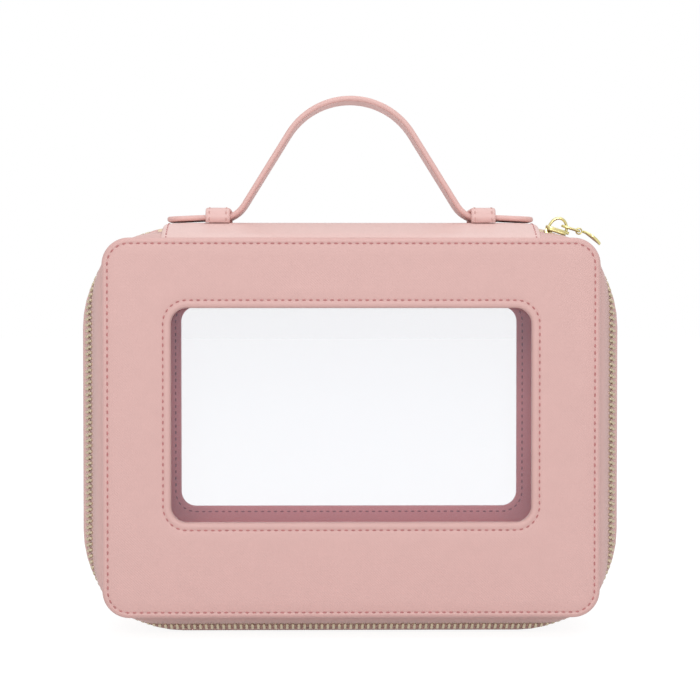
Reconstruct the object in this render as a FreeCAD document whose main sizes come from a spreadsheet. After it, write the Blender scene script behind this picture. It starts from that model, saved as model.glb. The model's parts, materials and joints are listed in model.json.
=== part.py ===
"""Makeup train case: a zip-round leather case with a clear window front and back and a strap handle on top.

Millimetres, +Z up, front towards -Y. The origin is on the ground, under the middle of the case.
The front panel is a lid. It is joined to the body along the top, where the leather folds on the zip line,
and the zip closes the other three sides.
"""
import FreeCAD
import Part
import math
import os

import Sketcher

Vector = FreeCAD.Vector
Placement = FreeCAD.Placement
Rotation = FreeCAD.Rotation

doc = FreeCAD.newDocument("train_case")
sheet = doc.addObject("Spreadsheet::Sheet", "sizes")

# Driving dimensions
SIZES = {
    # stiff panels, front and rear alike
    "panel_width": 220.0,
    "panel_height": 168.0,
    "panel_corner": 12.0,
    "case_depth": 80.0,
    "skin_thick": 1.2,
    "board_thick": 1.6,
    "lining_thick": 0.6,
    "rim_width": 1.4,
    "skin_edge_round": 1.1,
    # clear windows
    "window_width": 159.0,
    "window_height": 94.5,
    "window_corner": 7.0,
    "window_lift": 5.7,
    "window_lap": 5.0,
    "window_thick": 0.5,
    # soft sides, which bulge out between the panels
    "gusset_inset": 1.0,
    "side_bulge": 10.8,
    "top_bulge": 5.8,
    "base_bulge": 9.2,
    "band_corner": 46.0,
    "band_depth": 32.0,
    "leather_thick": 1.4,
    # zip
    "zip_setback": 18.6,
    "zip_gap": 8.4,
    "tape_width": 16.0,
    "tape_thick": 0.8,
    "chain_width": 5.2,
    "chain_slot": 1.2,
    "tooth_pitch": 2.6,
    "tooth_thick": 1.5,
    "tooth_rise": 2.2,
    "stop_length": 2.4,
    # top panel and its fold
    "top_inset": 26.0,
    "top_thick": 1.4,
    "top_tuck": 10.0,
    "fold_gap": 0.4,
    # handle
    "strap_width": 26.0,
    "strap_thick": 2.4,
    "strap_round": 1.0,
    "strap_lift": 0.4,
    "strap_end_length": 29.0,
    "strap_end_corner": 7.0,
    "handle_rise": 54.5,
    "crown_radius": 33.0,
    "foot_radius": 4.0,
    "keeper_spacing": 108.0,
    "keeper_length": 11.0,
    "keeper_wall": 2.0,
    "keeper_room": 2.0,
    # zip slider and its pull
    "slider_length": 11.0,
    "slider_width": 7.2,
    "slider_plate": 1.1,
    "slider_room": 1.0,
    "bridge_wire": 1.6,
    "bridge_rise": 5.4,
    "link_length": 9.0,
    "link_width": 5.0,
    "link_wire": 1.2,
    "tab_length": 9.5,
    "tab_width": 5.6,
    "tab_thick": 1.2,
    "tab_wall": 0.7,
    "tab_droop": 14.0,
    # working clearance between pieces that move on each other
    "clearance": 0.3,
}
for row, (alias, value) in enumerate(SIZES.items(), start=1):
    sheet.set(f"A{row}", alias)
    sheet.set(f"B{row}", str(value))
    sheet.setAlias(f"B{row}", alias)
doc.recompute()

# Derived sizes, as formulas on the sheet's cells
FORMULAS = {
    "base_z": "sizes.base_bulge",
    "panel_mid_z": "(sizes.base_bulge + sizes.panel_height / 2)",
    "face_y": "(sizes.case_depth / 2)",
    "shell_y": "(sizes.case_depth / 2 - sizes.skin_thick - sizes.board_thick)",
    "band_y": "(sizes.band_depth / 2)",
    "zip_y": "(-sizes.case_depth / 2 + sizes.zip_setback)",
    "band_top_z": "(sizes.base_bulge + sizes.panel_height + sizes.top_bulge)",
    "top_half": "(sizes.panel_width / 2 - sizes.top_inset)",
    "window_base_z": (
        "(sizes.base_bulge + sizes.panel_height / 2"
        " + sizes.window_lift - sizes.window_height / 2)"
    ),
}


def formula(text):
    """Puts the derived sizes, written as <name>, into a formula on the sheet."""
    for name, meaning in FORMULAS.items():
        text = text.replace(f"<{name}>", meaning)
    return text


def number(text):
    """The present value of a formula."""
    return float(sheet.evalExpression(formula(text)))


def bind(item, prop, text):
    item.setExpression(prop, formula(text))


# Sketch helpers
def plane_of(body, role):
    return next(f for f in body.Origin.OriginFeatures if f.Role == role)


def body_sketch(body, name, role, offset):
    """A sketch on one of a body's own planes, moved along that plane's normal."""
    sketch = body.newObject("Sketcher::SketchObject", name)
    sketch.AttachmentSupport = [(plane_of(body, role), "")]
    sketch.MapMode = "FlatFace"
    sketch.AttachmentOffset = Placement(Vector(0, 0, number(offset)), Rotation())
    bind(sketch, "AttachmentOffset.Base.z", offset)
    return sketch


def rule(sketch, name, text, *constraint):
    """A dimension of the sketch, held to a formula."""
    index = sketch.addConstraint(Sketcher.Constraint(*constraint, number(text)))
    sketch.renameConstraint(index, name)
    bind(sketch, f"Constraints.{name}", text)


def rounded_rectangle(sketch, tag, width, height, corner, base, middle="0"):
    """A closed rounded rectangle about the sketch's vertical line at middle, standing at height base."""
    w, h, r, b, m = (number(t) for t in (width, height, corner, base, middle))
    left, right, top = m - w / 2, m + w / 2, b + h
    z = Vector(0, 0, 1)
    corners = [
        (right - r, b + r, 270), (right - r, top - r, 0),
        (left + r, top - r, 90), (left + r, b + r, 180),
    ]
    lines = [
        ((left + r, b), (right - r, b)),
        ((right, b + r), (right, top - r)),
        ((right - r, top), (left + r, top)),
        ((left, top - r), (left, b + r)),
    ]
    line, arc = [], []
    for (start, end), (cx, cz, turn) in zip(lines, corners):
        line.append(sketch.addGeometry(Part.LineSegment(Vector(*start, 0), Vector(*end, 0))))
        circle = Part.Circle(Vector(cx, cz, 0), z, r)
        arc.append(sketch.addGeometry(Part.ArcOfCircle(circle, math.radians(turn), math.radians(turn + 90))))
    for k in range(4):
        sketch.addConstraint(Sketcher.Constraint("Tangent", line[k], 2, arc[k], 1))
        sketch.addConstraint(Sketcher.Constraint("Tangent", arc[k], 2, line[(k + 1) % 4], 1))
        sketch.addConstraint(Sketcher.Constraint("Vertical" if k % 2 else "Horizontal", line[k]))
    for k in range(1, 4):
        sketch.addConstraint(Sketcher.Constraint("Equal", arc[0], arc[k]))
    rule(sketch, f"{tag}_corner", corner, "Radius", arc[0])
    rule(sketch, f"{tag}_width", width, "DistanceX", line[3], 1, line[1], 1)
    rule(sketch, f"{tag}_height", height, "DistanceY", line[0], 1, line[2], 1)
    rule(sketch, f"{tag}_base", base, "DistanceY", -1, 1, line[0], 1)
    rule(sketch, f"{tag}_right", f"({middle}) + ({width}) / 2", "DistanceX", -1, 1, line[1], 1)


def new_body(label):
    body = doc.addObject("PartDesign::Body", label)
    body.Label = label
    return body


def pad(body, sketch, length, reverse=False, middle=False):
    feature = body.newObject("PartDesign::Pad", sketch.Name + "_pad")
    feature.Profile = sketch
    feature.Length = number(length)
    bind(feature, "Length", length)
    feature.Reversed = reverse
    feature.SideType = "Symmetric" if middle else "One side"
    sketch.Visibility = False
    doc.recompute()
    return feature


def pocket(body, sketch, length, reverse=False):
    before = body.Tip.Shape.Volume
    feature = body.newObject("PartDesign::Pocket", sketch.Name + "_pocket")
    feature.Profile = sketch
    feature.Length = number(length)
    bind(feature, "Length", length)
    feature.Reversed = reverse
    doc.recompute()
    if not feature.Shape.Volume < before:
        raise RuntimeError(f"{feature.Name} cuts nothing")
    return feature


def edges_where(shape, test):
    return [f"Edge{n}" for n, e in enumerate(shape.Edges, start=1) if test(e)]


def fillet(body, radius, test):
    base = body.Tip
    feature = body.newObject("PartDesign::Fillet", base.Name + "_round")
    feature.Base = (base, edges_where(base.Shape, test))
    feature.Radius = number(radius)
    bind(feature, "Radius", radius)
    doc.recompute()
    return feature


# Stiff panels: leather skin with turned edges, board, clear window and lining
def flat_edge(at_y):
    """True for an edge that lies in the plane y = at_y."""
    def test(edge):
        box = edge.BoundBox
        return abs(box.YMin - at_y) < 1e-4 and abs(box.YMax - at_y) < 1e-4
    return test


def window_outline(sketch, tag, grow):
    """The window opening, grown by so much on every side."""
    rounded_rectangle(
        sketch, tag, f"sizes.window_width + 2 * ({grow})", f"sizes.window_height + 2 * ({grow})",
        f"sizes.window_corner + ({grow})", f"<window_base_z> - ({grow})",
    )


def panel_outline(sketch, tag, inset):
    """The panel's outline, taken in by so much on every side."""
    rounded_rectangle(
        sketch, tag, f"sizes.panel_width - 2 * ({inset})", f"sizes.panel_height - 2 * ({inset})",
        f"sizes.panel_corner - ({inset})", f"<base_z> + ({inset})",
    )


def panel_pieces(side, facing):
    """Skin, board, window sheet and lining of one panel. facing is -1 at the front and 1 at the rear."""
    outward = facing < 0

    def sketch_at(body, name, depth):
        """A sketch at that depth behind the panel's outer face. The plane's normal is -Y."""
        return body_sketch(body, f"{side}_{name}", "XZ_Plane", f"{-facing} * (<face_y> - ({depth}))")

    skin = new_body(f"{side}_panel_skin")
    outline = sketch_at(skin, "skin_outline", "0")
    panel_outline(outline, "panel", "0")
    window_outline(outline, "window", "0")
    pad(skin, outline, "sizes.skin_thick + sizes.board_thick", reverse=outward)
    seat = sketch_at(skin, "board_seat", "sizes.skin_thick + sizes.board_thick")
    panel_outline(seat, "seat", "sizes.rim_width")
    window_outline(seat, "rim", "sizes.rim_width")
    pocket(skin, seat, "sizes.board_thick", reverse=outward)
    fillet(skin, "sizes.skin_edge_round", flat_edge(facing * number("<face_y>")))

    board = new_body(f"{side}_panel_board")
    outline = sketch_at(board, "board_outline", "sizes.skin_thick")
    panel_outline(outline, "board", "sizes.rim_width")
    window_outline(outline, "hole", "sizes.rim_width")
    pad(board, outline, "sizes.board_thick", reverse=outward)

    window = new_body(f"{side}_window")
    outline = sketch_at(window, "window_sheet", "sizes.skin_thick + sizes.board_thick")
    window_outline(outline, "sheet", "sizes.window_lap")
    pad(window, outline, "sizes.window_thick", reverse=outward)

    lining = new_body(f"{side}_lining")
    outline = sketch_at(lining, "lining_outline", "sizes.skin_thick + sizes.board_thick + sizes.window_thick")
    wall = "sizes.gusset_inset + sizes.leather_thick + sizes.tape_thick + sizes.clearance"
    panel_outline(outline, "lining", wall)
    window_outline(outline, "hole", "0")
    pad(lining, outline, "sizes.lining_thick", reverse=outward)
    return [skin, board, window, lining]


# Soft sides: nested solids from panel to panel, each a layer of material inside the last
def layer_sketch(name, at_y, width, height, corner, base):
    sketch = doc.addObject("Sketcher::SketchObject", name)
    sketch.Placement = Placement(Vector(0, number(at_y), 0), Rotation(Vector(1, 0, 0), 90))
    bind(sketch, "Placement.Base.y", at_y)
    rounded_rectangle(sketch, "outline", width, height, corner, base)
    sketch.Visibility = False
    return sketch


def layer(name, depth):
    """The space inside the case's sides, taken in by depth from the leather's outer face."""
    inset = f"(sizes.gusset_inset + {depth})"
    edge = (
        f"sizes.panel_width - 2 * {inset}", f"sizes.panel_height - 2 * {inset}",
        f"sizes.panel_corner - {inset}", f"<base_z> + {inset}",
    )
    band = (
        f"sizes.panel_width + 2 * sizes.side_bulge - 2 * ({depth})",
        f"sizes.panel_height + sizes.top_bulge + sizes.base_bulge - 2 * ({depth})",
        f"sizes.band_corner - ({depth})", f"({depth})",
    )
    loft = doc.addObject("Part::Loft", name)
    loft.Sections = [
        layer_sketch(f"{name}_front_edge", "-<shell_y>", *edge),
        layer_sketch(f"{name}_band_front", "-<band_y>", *band),
        layer_sketch(f"{name}_band_rear", "<band_y>", *band),
        layer_sketch(f"{name}_rear_edge", "<shell_y>", *edge),
    ]
    loft.Solid = True
    loft.Ruled = True
    return loft


def block(name, x, y, z):
    """A box between pairs of formulas for its low and high sides."""
    box = doc.addObject("Part::Box", name)
    for prop, axis, (low, high) in (("Length", "x", x), ("Width", "y", y), ("Height", "z", z)):
        bind(box, prop, f"({high}) - ({low})")
        bind(box, f"Placement.Base.{axis}", low)
    return box


def cut(name, base, tool):
    feature = doc.addObject("Part::Cut", name)
    feature.Base = base
    feature.Tool = tool
    return feature


def common(name, *shapes):
    feature = doc.addObject("Part::MultiCommon", name)
    feature.Shapes = list(shapes)
    return feature


WIDE = ("-sizes.panel_width", "sizes.panel_width")
TALL = ("-sizes.base_bulge - 1", "2 * sizes.panel_height")
UPPER = ("<panel_mid_z>", "2 * sizes.panel_height")
TOP_HALF = "<top_half>"
PARKED = "sizes.stop_length + sizes.slider_length + 3 * sizes.clearance"


def slab(name, low_y, high_y):
    return block(name, WIDE, (low_y, high_y), TALL)


def soft_sides():
    """Leather, linings, zip tapes, the top panel and its fold."""
    cover = layer("cover_layer", "-sizes.top_thick")
    outer = layer("outer_layer", "0")
    inner = layer("inner_layer", "sizes.leather_thick")
    core = layer("core_layer", "(sizes.leather_thick + sizes.tape_thick)")
    leather = cut("leather_layer", outer, inner)
    lining = cut("tape_layer", inner, core)
    top = cut("top_layer", cover, outer)

    lid_edge = "<zip_y> - sizes.zip_gap / 2"
    body_edge = "<zip_y> + sizes.zip_gap / 2"
    made = {}
    made["lid_gusset"] = common("lid_gusset", leather, slab("lid_gusset_span", "-<shell_y>", lid_edge))

    open_top = (f"-{TOP_HALF} + sizes.top_tuck", f"{TOP_HALF} - sizes.top_tuck")
    span = slab("body_gusset_span", body_edge, "<shell_y>")
    gap = block("body_gusset_open_top", open_top, ("-<shell_y>", "<shell_y>"), UPPER)
    made["body_gusset"] = common("body_gusset", leather, cut("body_gusset_band", span, gap))

    under = block("top_board_span", open_top, (body_edge, "<shell_y>"), UPPER)
    made["top_board"] = common("top_board", leather, under)

    length = (f"-{TOP_HALF}", TOP_HALF)
    span = block("top_panel_span", length, ("<zip_y> + sizes.fold_gap / 2", "<shell_y>"), UPPER)
    made["top_panel"] = common("top_panel", top, span)
    span = block("top_fold_span", length, ("-<shell_y>", "<zip_y> - sizes.fold_gap / 2"), UPPER)
    made["top_fold_flap"] = common("top_fold_flap", top, span)

    span = slab("body_tape_span", "<zip_y> + sizes.chain_width / 2", "<zip_y> + sizes.tape_width / 2")
    gap = block("body_tape_open_top", length, ("-<shell_y>", "<shell_y>"), UPPER)
    made["body_zip_tape"] = common("body_zip_tape", lining, cut("body_tape_band", span, gap))
    # the lid's tape stops short of the parked slider, which stays on the body when the lid opens
    span = slab("lid_tape_span", "<zip_y> - sizes.tape_width / 2", "<zip_y> - sizes.chain_width / 2")
    parked = (f"-{TOP_HALF}", f"{TOP_HALF} + {PARKED}")
    gap = block("lid_tape_open_top", parked, ("-<shell_y>", "<shell_y>"), UPPER)
    made["lid_zip_tape"] = common("lid_zip_tape", lining, cut("lid_tape_band", span, gap))

    span = slab(
        "body_lining_span", "<zip_y> + sizes.tape_width / 2",
        "<shell_y> - sizes.window_thick - sizes.lining_thick - sizes.clearance",
    )
    made["body_gusset_lining"] = common("body_gusset_lining", lining, span)
    doc.recompute()
    for label, feature in made.items():
        feature.Label = label
    return list(made.values())


# The zip's line: a rounded rectangle round the case, between the panel's edge and the bulging band
def zip_section(at_y):
    """Width, height, corner radius and base of the leather's outline at that y."""
    share = (at_y + number("<shell_y>")) / (number("<shell_y>") - number("<band_y>"))
    inset = number("sizes.gusset_inset")

    def between(edge, band):
        return edge + share * (band - edge)

    return (
        between(number("sizes.panel_width") - 2 * inset, number("sizes.panel_width + 2 * sizes.side_bulge")),
        between(number("sizes.panel_height") - 2 * inset, number("<band_top_z>")),
        between(number("sizes.panel_corner") - inset, number("sizes.band_corner")),
        between(number("<base_z>") + inset, 0.0),
    )


class ZipLine:
    """The zip at one y, from the top panel's left end round under the case to its right end."""

    def __init__(self, at_y):
        width, height, self.r, self.base = zip_section(at_y)
        self.y, self.half, self.top = at_y, width / 2, self.base + height
        self.flat = self.half - self.r
        panel_end = number(TOP_HALF)
        # the panel's end stands on the flat of the top, or past it on the corner
        self.lead = max(0.0, self.flat - panel_end)
        self.skip = math.asin(max(0.0, panel_end - self.flat) / self.r)
        rise, corner = height - 2 * self.r, self.r * math.pi / 2
        shown = corner - self.r * self.skip
        self.runs = [self.lead, shown, rise, corner, 2 * self.flat, corner, rise, shown, self.lead]
        self.length = sum(self.runs)

    def at(self, s):
        """Point and outward direction, in the plane of the zip, at a distance along it."""
        low, high = self.base + self.r, self.top - self.r
        spots = [
            ((self.lead - self.flat, self.top), Vector(-1, 0, 0)),
            ((-self.flat, high), math.pi / 2 + self.skip),
            ((-self.half, high), Vector(0, 0, -1)),
            ((-self.flat, low), math.pi),
            ((-self.flat, self.base), Vector(1, 0, 0)),
            ((self.flat, low), math.pi * 1.5),
            ((self.half, low), Vector(0, 0, 1)),
            ((self.flat, high), 0.0),
            ((self.flat, self.top), Vector(-1, 0, 0)),
        ]
        run = 0
        while run < len(spots) - 1 and s > self.runs[run]:
            s -= self.runs[run]
            run += 1
        (x, z), way = spots[run]
        if isinstance(way, float):
            turn = way + s / self.r
            out = Vector(math.cos(turn), 0, math.sin(turn))
            return Vector(x, self.y, z) + out * self.r, out
        return Vector(x, self.y, z) + way * s, Vector(0, 1, 0).cross(way)


def tooth(point, out, length, thick, rise):
    """One tooth: a block with its long side across the zip, standing up from the tape by its rise."""
    along = out.cross(Vector(0, 1, 0))
    solid = Part.makeBox(thick, length, rise, Vector(-thick / 2, -length / 2, -rise))
    solid.Placement = Placement(point, Rotation(along, Vector(0, 1, 0), out))
    return solid


def tooth_length():
    return number("(sizes.chain_width - sizes.chain_slot) / 2")


def row_line(side):
    """The line of a row's middle, side -1 on the lid's tape and 1 on the body's."""
    return ZipLine(number("<zip_y>") + side * (number("sizes.chain_slot") + tooth_length()) / 2)


def metal_pieces(label, solids):
    feature = doc.addObject("Part::Feature", label)
    feature.Shape = Part.makeCompound(solids)
    feature.Label = label
    return feature


def tooth_row(label, side):
    """A row of separate teeth, from the stops at the left end to the parked slider at the right end."""
    line = row_line(side)
    pitch = number("sizes.tooth_pitch")
    start = number("sizes.stop_length + sizes.tooth_thick") + (0.0 if side < 0 else pitch / 2)
    count = int((line.length - start - number(PARKED)) / pitch)
    thick, rise = number("sizes.tooth_thick"), number("sizes.tooth_rise")
    teeth = [tooth(*line.at(start + k * pitch), tooth_length(), thick, rise) for k in range(count)]
    return metal_pieces(label, teeth)


def zip_stops():
    """Metal stops on the body's tape, one at each end of its row."""
    line = row_line(1)
    size = number("sizes.stop_length")
    ends = (size / 2, line.length - size / 2)
    return metal_pieces(
        "zip_stops",
        [tooth(*line.at(s), tooth_length(), size, number("sizes.tooth_rise")) for s in ends],
    )


# Handle: a strap that runs through two keepers and arches between them
def handle_line():
    """Angle of the flank, and the height of the strap's middle in the keepers."""
    crown, foot = number("sizes.crown_radius"), number("sizes.foot_radius")
    rise, half = number("sizes.handle_rise"), number("sizes.keeper_spacing / 2")
    both = crown + foot
    flank = math.sqrt(half**2 + (both - rise) ** 2 - both**2)
    sine = (both * half - flank * (both - rise)) / (both**2 + flank**2)
    cosine = (flank * half + both * (both - rise)) / (both**2 + flank**2)
    return math.atan2(sine, cosine)


STRAP_Z = "<band_top_z> + sizes.top_thick + sizes.strap_lift"


def handle_arch():
    """The raised part of the strap: foot, flank, crown, flank and foot, swept with the strap's section."""
    body = new_body("handle_arch")
    turn = handle_line()
    crown, foot = number("sizes.crown_radius"), number("sizes.foot_radius")
    half, rise = number("sizes.keeper_spacing / 2"), number("sizes.handle_rise")
    seat = number(f"{STRAP_Z} + sizes.strap_thick / 2")
    sin, cos = math.sin(turn), math.cos(turn)

    path = body_sketch(body, "handle_path", "XZ_Plane", "0")
    z = Vector(0, 0, 1)
    quarter = math.pi / 2
    for way in (-1, 1):
        centre = Vector(way * half, seat + foot, 0)
        low, high = (-quarter, -quarter + turn) if way < 0 else (-quarter - turn, -quarter)
        path.addGeometry(Part.ArcOfCircle(Part.Circle(centre, z, foot), low, high))
        top = Vector(way * crown * sin, seat + rise - crown + crown * cos, 0)
        bottom = Vector(way * (half - foot * sin), seat + foot - foot * cos, 0)
        path.addGeometry(Part.LineSegment(bottom, top))
    middle = Part.Circle(Vector(0, seat + rise - crown, 0), z, crown)
    path.addGeometry(Part.ArcOfCircle(middle, quarter - turn, quarter + turn))

    section = body_sketch(body, "handle_section", "YZ_Plane", "-sizes.keeper_spacing / 2")
    rounded_rectangle(
        section, "strap", "sizes.strap_width", "sizes.strap_thick", "sizes.strap_round", STRAP_Z,
    )
    doc.recompute()
    pipe = body.newObject("PartDesign::AdditivePipe", "handle_sweep")
    pipe.Profile = section
    pipe.Spine = (path, [f"Edge{n}" for n in range(1, 6)])
    doc.recompute()
    return body


def level_edge(edge):
    """True for an edge that lies in a level plane."""
    return edge.BoundBox.ZLength < 1e-4


def strap_end(side, way):
    """The strap's free end, which runs out through its keeper and lies on the top panel."""
    body = new_body(f"strap_end_{side}")
    start = "sizes.keeper_spacing / 2"
    spare = "2 * sizes.strap_end_corner"
    plan = body_sketch(body, f"strap_plan_{side}", "XY_Plane", STRAP_Z)
    rounded_rectangle(
        plan, "strap", f"sizes.strap_end_length + {spare}", "sizes.strap_width",
        "sizes.strap_end_corner", "-sizes.strap_width / 2",
        f"{way} * ({start} + sizes.strap_end_length / 2 - sizes.strap_end_corner)",
    )
    pad(body, plan, "sizes.strap_thick")
    fillet(body, "sizes.strap_round", level_edge)
    trim = body_sketch(body, f"strap_trim_{side}", "YZ_Plane", f"{way} * {start}")
    rounded_rectangle(
        trim, "trim", "2 * sizes.strap_width", "3 * sizes.strap_thick", "sizes.strap_round",
        f"{STRAP_Z} - sizes.strap_thick",
    )
    pocket(body, trim, f"{spare} + sizes.strap_round", reverse=way < 0)
    return body


def keeper(side, way):
    """A leather loop sewn to the top panel, with the strap running through it."""
    body = new_body(f"keeper_{side}")
    room = "sizes.keeper_room"
    start = f"{way} * (sizes.keeper_spacing / 2 + sizes.clearance)"
    loop = body_sketch(body, f"keeper_loop_{side}", "YZ_Plane", start)
    inside = f"sizes.strap_width + 2 * {room}"
    tall = f"sizes.strap_lift + sizes.strap_thick + {room}"
    foot = "<band_top_z> + sizes.top_thick"
    rounded_rectangle(
        loop, "outside", f"{inside} + 2 * sizes.keeper_wall", f"{tall} + sizes.keeper_wall",
        "sizes.strap_round", foot,
    )
    pad(body, loop, "sizes.keeper_length", reverse=way < 0)
    hole = body_sketch(body, f"keeper_hole_{side}", "YZ_Plane", start)
    rounded_rectangle(
        hole, "inside", inside, f"{tall} + sizes.keeper_wall",
        "sizes.strap_round", f"{foot} - sizes.keeper_wall",
    )
    pocket(body, hole, "sizes.keeper_length", reverse=way > 0)
    return body


# Zip slider and pull, made about the slider's own point on the zip and then set in place
def slider_place():
    """Where the slider parks, against the right-hand stop, and the middle of the corner it rounds."""
    step = number("sizes.chain_slot") / 2
    before_end = number("sizes.stop_length + sizes.clearance + sizes.slider_length / 2")
    middle, front, rear = (ZipLine(number("<zip_y>") + way * step) for way in (0, -1, 1))
    point, out = middle.at(middle.length - before_end)
    along = Vector(0, 1, 0).cross(out)
    across = rear.at(rear.length - before_end)[0] - front.at(front.length - before_end)[0]
    across = (across - along * across.dot(along)).normalize()
    centre = Vector(middle.flat, middle.y, middle.top - middle.r)
    return centre, Placement(point, Rotation(along, across, along.cross(across)))


def slider_body():
    """Top and bottom plates joined by a thin post that runs between the two rows of teeth, and a bridge."""
    body = new_body("slider_body")
    under = "sizes.tooth_rise + sizes.slider_room"

    def plate(name, low):
        sketch = body_sketch(body, name, "XY_Plane", low)
        rounded_rectangle(
            sketch, "plate", "sizes.slider_length", "sizes.slider_width",
            "sizes.slider_width / 4", "-sizes.slider_width / 2",
        )
        return pad(body, sketch, "sizes.slider_plate")

    plate("slider_bottom", f"-({under}) - sizes.slider_plate")
    post = body_sketch(body, "slider_post", "XY_Plane", f"-({under})")
    thick = "(sizes.chain_slot - 2 * sizes.clearance)"
    rounded_rectangle(
        post, "post", "sizes.slider_length / 3", thick, f"{thick} / 4", f"-{thick} / 2",
        "-sizes.slider_length / 3",
    )
    pad(body, post, f"{under} + sizes.slider_room")
    plate("slider_top", "sizes.slider_room")
    bridge = body_sketch(body, "slider_bridge", "XZ_Plane", "0")
    foot = "sizes.slider_room + sizes.slider_plate"
    root = "sizes.slider_plate / 2"
    rounded_rectangle(
        bridge, "loop", "sizes.slider_length * 0.8", f"sizes.bridge_rise + {root}",
        "sizes.bridge_rise * 0.45", f"{foot} - {root}",
    )
    rounded_rectangle(
        bridge, "eye", "sizes.slider_length * 0.8 - 2 * sizes.bridge_wire",
        "sizes.bridge_rise - sizes.bridge_wire",
        "(sizes.bridge_rise - sizes.bridge_wire) * 0.45", foot,
    )
    pad(body, bridge, "sizes.bridge_wire", middle=True)
    return body


def pull_link():
    """A wire link through the bridge's eye. It turns about the middle of its first cross bar."""
    body = new_body("pull_link")
    middle = "sizes.link_length / 2 - sizes.link_wire / 2"
    ring = body_sketch(body, "link_ring", "XY_Plane", "-sizes.link_wire / 2")
    for tag, grow in (("outside", "0"), ("inside", "-2 * sizes.link_wire")):
        width = f"(sizes.link_width + ({grow}))"
        rounded_rectangle(
            ring, tag, f"sizes.link_length + ({grow})", width, f"{width} * 0.4", f"-{width} / 2", middle,
        )
    pad(body, ring, "sizes.link_wire")
    fillet(body, "sizes.link_wire * 0.45", level_edge)
    return body


def circle(sketch, name, radius):
    """A circle about the sketch's origin."""
    index = sketch.addGeometry(Part.Circle(Vector(), Vector(0, 0, 1), number(radius)))
    sketch.addConstraint(Sketcher.Constraint("Coincident", index, 3, -1, 1))
    rule(sketch, name, radius, "Radius", index)


def pull_tab():
    """A flat tab on a narrow neck, with a barrel round the link's far cross bar."""
    body = new_body("pull_tab")
    bore = "(sizes.link_wire / 2 + sizes.clearance)"
    barrel = f"({bore} + sizes.tab_wall)"
    neck = "(sizes.link_width - 2 * sizes.link_wire - 2 * sizes.clearance)"
    start = f"({barrel} + sizes.clearance)"

    outline = body_sketch(body, "tab_barrel", "XZ_Plane", "0")
    circle(outline, "barrel", barrel)
    pad(body, outline, neck, middle=True)
    strip = body_sketch(body, "tab_neck", "XY_Plane", "-sizes.tab_thick / 2")
    length = "sizes.tab_width"
    rounded_rectangle(strip, "neck", length, neck, f"{neck} * 0.1", f"-{neck} / 2", f"{length} / 2 + {bore}")
    pad(body, strip, "sizes.tab_thick")
    plate = body_sketch(body, "tab_plate", "XY_Plane", "-sizes.tab_thick / 2")
    rounded_rectangle(
        plate, "plate", "sizes.tab_length", "sizes.tab_width", "sizes.tab_width * 0.4",
        "-sizes.tab_width / 2", f"{start} + sizes.tab_length / 2",
    )
    pad(body, plate, "sizes.tab_thick")
    hole = body_sketch(body, "tab_bore", "XZ_Plane", "sizes.tab_width")
    circle(hole, "bore", bore)
    pocket(body, hole, "2 * sizes.tab_width")
    return body


def set_slider():
    """Slider, link and tab in their parked places. The points that they turn about are printed."""
    centre, place = slider_place()
    slider, link, tab = slider_body(), pull_link(), pull_tab()
    slider.Placement = place
    eye_x = number("sizes.slider_length * 0.4 - sizes.bridge_wire - sizes.link_wire")
    eye_z = number("sizes.slider_room + sizes.slider_plate + (sizes.bridge_rise - sizes.bridge_wire) / 2")
    pivot = place.multVec(Vector(eye_x, 0, eye_z))
    link.Placement = Placement(pivot, place.Rotation)
    hang = link.Placement.multVec(Vector(number("sizes.link_length - sizes.link_wire"), 0, 0))
    droop = Rotation(Vector(0, 1, 0), number("sizes.tab_droop"))
    tab.Placement = Placement(hang, place.Rotation.multiply(droop))
    print("slider turns about", centre, "link about", pivot, "tab about", hang)
    print("their axis", place.Rotation.multVec(Vector(0, 1, 0)))
    fold = ZipLine(number("<zip_y>"))
    print("lid turns about", Vector(0, fold.y, fold.top + number("sizes.top_thick")))
    return [slider, link, tab]


def build():
    nodes = panel_pieces("front", -1) + panel_pieces("rear", 1)
    nodes += soft_sides()
    nodes += [tooth_row("lid_zip_teeth", -1), tooth_row("body_zip_teeth", 1), zip_stops()]
    nodes += [handle_arch()]
    for side, way in (("left", -1), ("right", 1)):
        nodes += [strap_end(side, way), keeper(side, way)]
    nodes += set_slider()
    doc.recompute()
    for item in doc.Objects:
        if "Invalid" in item.State or "Error" in item.State:
            raise RuntimeError(f"{item.Label} failed: {item.State}")
    for item in nodes:
        if item.Shape.isNull() or not item.Shape.isValid() or not item.Shape.Solids:
            raise RuntimeError(f"{item.Label} has no valid shape")
    return nodes


def write(nodes):
    os.makedirs("parts", exist_ok=True)
    for item in nodes:
        item.Shape.exportStep(os.path.join("parts", item.Label + ".step"))
        box = item.Shape.BoundBox
        print(
            f"{item.Label}: {len(item.Shape.Solids)} solids, {item.Shape.Volume:.0f} mm3, "
            f"x {box.XMin:.1f}..{box.XMax:.1f} y {box.YMin:.1f}..{box.YMax:.1f} "
            f"z {box.ZMin:.1f}..{box.ZMax:.1f}"
        )


write(build())
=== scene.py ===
import json
import math

import bmesh
import bpy
from mathutils import Matrix, Vector


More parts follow.
